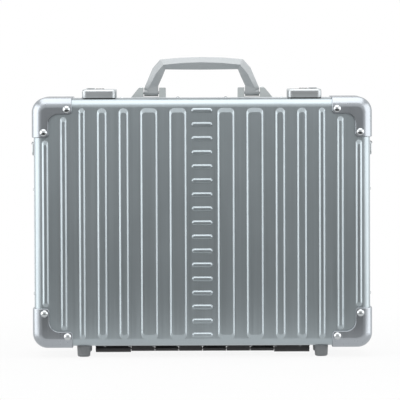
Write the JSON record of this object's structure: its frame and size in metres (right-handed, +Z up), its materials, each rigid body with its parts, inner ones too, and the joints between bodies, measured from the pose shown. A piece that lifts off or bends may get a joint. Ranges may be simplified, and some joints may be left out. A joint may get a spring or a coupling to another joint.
{
  "type": "aluminium attache case",
  "caption": "Ribbed aluminium attache case with riveted corner guards, folding handle, two locking latches, side strap rings and a hinged lid.",
  "frame": {"origin": "middle of the case on the surface that its feet stand on", "axes": "+Z up towards the handle, -Y out of the lid's face, +X to the right seen from the front"},
  "size_m": [0.4302, 0.1172, 0.3744],
  "materials": {
    "anodised_sheet": "fine satin anodised",
    "anodised_frame": "satin extruded",
    "corner_guard": "satin pressed",
    "rivet": "polished",
    "hinge_steel": "black satin",
    "handle_paint": "silver satin lacquer",
    "bracket_cast": "silver satin lacquer",
    "latch_plate": "satin chrome",
    "lock_housing": "satin die cast",
    "pin_steel": "bright",
    "dial_plastic": "fine moulded",
    "rubber": "matt",
    "foot_plastic": "fine moulded",
    "stay_steel": "zinc plated",
    "lining_fabric": "woven polyester",
    "pocket_leather": "grained",
    "webbing": "woven",
    "buckle_plastic": "moulded"
  },
  "bodies": {
    "base": {"base_shell": "anodised_sheet", "base_frame": "anodised_frame", "base_top_guards": "corner_guard", "base_bottom_guards": "corner_guard", "base_guard_rivets": "rivet", "base_frame_rivets": "rivet", "base_hinge_leaf": "hinge_steel", "hinge_pin": "pin_steel", "base_stay_pivots": "stay_steel", "base_lining": "lining_fabric", "base_feet": "foot_plastic", "left_handle_bracket": "bracket_cast", "right_handle_bracket": "bracket_cast", "handle_pins": "pin_steel", "handle_bracket_screws": "rivet", "left_lock_housing": "lock_housing", "right_lock_housing": "lock_housing", "dial_axles": "pin_steel", "ring_brackets": "latch_plate", "base_pad": "lining_fabric", "document_strap": "webbing", "strap_buckle": "buckle_plastic"},
    "lid": {"lid_shell": "anodised_sheet", "lid_frame": "anodised_frame", "lid_top_guards": "corner_guard", "lid_bottom_guards": "corner_guard", "lid_guard_rivets": "rivet", "lid_frame_rivets": "rivet", "lid_hinge_leaf": "hinge_steel", "lid_stay_pivots": "stay_steel", "lid_lining": "lining_fabric", "lid_feet": "foot_plastic", "left_hasp_block": "latch_plate", "right_hasp_block": "latch_plate", "hasp_gaskets": "rubber", "hasp_pins": "pin_steel", "organiser_panel": "pocket_leather", "document_pocket": "pocket_leather", "small_pockets": "pocket_leather", "pen_loops": "pocket_leather"},
    "handle": {"handle_grip": "handle_paint"},
    "left_hasp": {"left_hasp": "latch_plate"},
    "left_slide": {"left_slide_button": "latch_plate"},
    "left_strap_ring": {"left_strap_ring": "latch_plate"},
    "left_base_arm": {"left_stay_base_arm": "stay_steel"},
    "left_lid_arm": {"left_stay_lid_arm": "stay_steel"},
    "left_dial_1": {"left_dial_1": "dial_plastic"},
    "left_dial_2": {"left_dial_2": "dial_plastic"},
    "left_dial_3": {"left_dial_3": "dial_plastic"},
    "right_hasp": {"right_hasp": "latch_plate"},
    "right_slide": {"right_slide_button": "latch_plate"},
    "right_strap_ring": {"right_strap_ring": "latch_plate"},
    "right_base_arm": {"right_stay_base_arm": "stay_steel"},
    "right_lid_arm": {"right_stay_lid_arm": "stay_steel"},
    "right_dial_1": {"right_dial_1": "dial_plastic"},
    "right_dial_2": {"right_dial_2": "dial_plastic"},
    "right_dial_3": {"right_dial_3": "dial_plastic"}
  },
  "joints": [
    {"name": "lid_hinge", "type": "hinge", "parent": "base", "child": "lid", "pos_m": [0, -0.01, 0.0074], "axis": [1, 0, 0], "range_deg": [0, 100]},
    {"name": "handle_fold", "type": "hinge", "parent": "base", "child": "handle", "pos_m": [0, 0.003, 0.3298], "axis": [1, 0, 0], "range_deg": [-75, 75]},
    {"name": "left_hasp_lift", "type": "hinge", "parent": "lid", "child": "left_hasp", "pos_m": [-0.1286, -0.0245, 0.3302], "axis": [1, 0, 0], "range_deg": [0, 75]},
    {"name": "left_lock_slide", "type": "slide", "parent": "base", "child": "left_slide", "axis": [1, 0, 0], "range_m": [0, 0.006]},
    {"name": "left_ring_swing", "type": "hinge", "parent": "base", "child": "left_strap_ring", "pos_m": [-0.2129, 0.014, 0.266], "axis": [0, 1, 0], "range_deg": [0, 150]},
    {"name": "left_base_arm_turn", "type": "hinge", "parent": "base", "child": "left_base_arm", "pos_m": [-0.199, -0.002, 0.127], "axis": [1, 0, 0], "range_deg": [0, 100]},
    {"name": "left_lid_arm_turn", "type": "hinge", "parent": "lid", "child": "left_lid_arm", "pos_m": [-0.196, -0.018, 0.127], "axis": [1, 0, 0], "range_deg": [-100, 0]},
    {"name": "left_dial_1_turn", "type": "hinge", "parent": "base", "child": "left_dial_1", "pos_m": [-0.1322, 0.021, 0.329], "axis": [1, 0, 0], "continuous": true},
    {"name": "left_dial_2_turn", "type": "hinge", "parent": "base", "child": "left_dial_2", "pos_m": [-0.1286, 0.021, 0.329], "axis": [1, 0, 0], "continuous": true},
    {"name": "left_dial_3_turn", "type": "hinge", "parent": "base", "child": "left_dial_3", "pos_m": [-0.125, 0.021, 0.329], "axis": [1, 0, 0], "continuous": true},
    {"name": "right_hasp_lift", "type": "hinge", "parent": "lid", "child": "right_hasp", "pos_m": [0.1286, -0.0245, 0.3302], "axis": [1, 0, 0], "range_deg": [0, 75]},
    {"name": "right_lock_slide", "type": "slide", "parent": "base", "child": "right_slide", "axis": [-1, 0, 0], "range_m": [0, 0.006]},
    {"name": "right_ring_swing", "type": "hinge", "parent": "base", "child": "right_strap_ring", "pos_m": [0.2129, 0.014, 0.266], "axis": [0, -1, 0], "range_deg": [0, 150]},
    {"name": "right_base_arm_turn", "type": "hinge", "parent": "base", "child": "right_base_arm", "pos_m": [0.199, -0.002, 0.127], "axis": [1, 0, 0], "range_deg": [0, 100]},
    {"name": "right_lid_arm_turn", "type": "hinge", "parent": "lid", "child": "right_lid_arm", "pos_m": [0.196, -0.018, 0.127], "axis": [1, 0, 0], "range_deg": [-100, 0]},
    {"name": "right_dial_1_turn", "type": "hinge", "parent": "base", "child": "right_dial_1", "pos_m": [0.125, 0.021, 0.329], "axis": [1, 0, 0], "continuous": true},
    {"name": "right_dial_2_turn", "type": "hinge", "parent": "base", "child": "right_dial_2", "pos_m": [0.1286, 0.021, 0.329], "axis": [1, 0, 0], "continuous": true},
    {"name": "right_dial_3_turn", "type": "hinge", "parent": "base", "child": "right_dial_3", "pos_m": [0.1322, 0.021, 0.329], "axis": [1, 0, 0], "continuous": true}
  ],
  "couplings": [
    {"joint": "left_base_arm_turn", "follows": "lid_hinge", "ratio": 1},
    {"joint": "left_lid_arm_turn", "follows": "lid_hinge", "ratio": -1},
    {"joint": "right_base_arm_turn", "follows": "lid_hinge", "ratio": 1},
    {"joint": "right_lid_arm_turn", "follows": "lid_hinge", "ratio": -1}
  ]
}
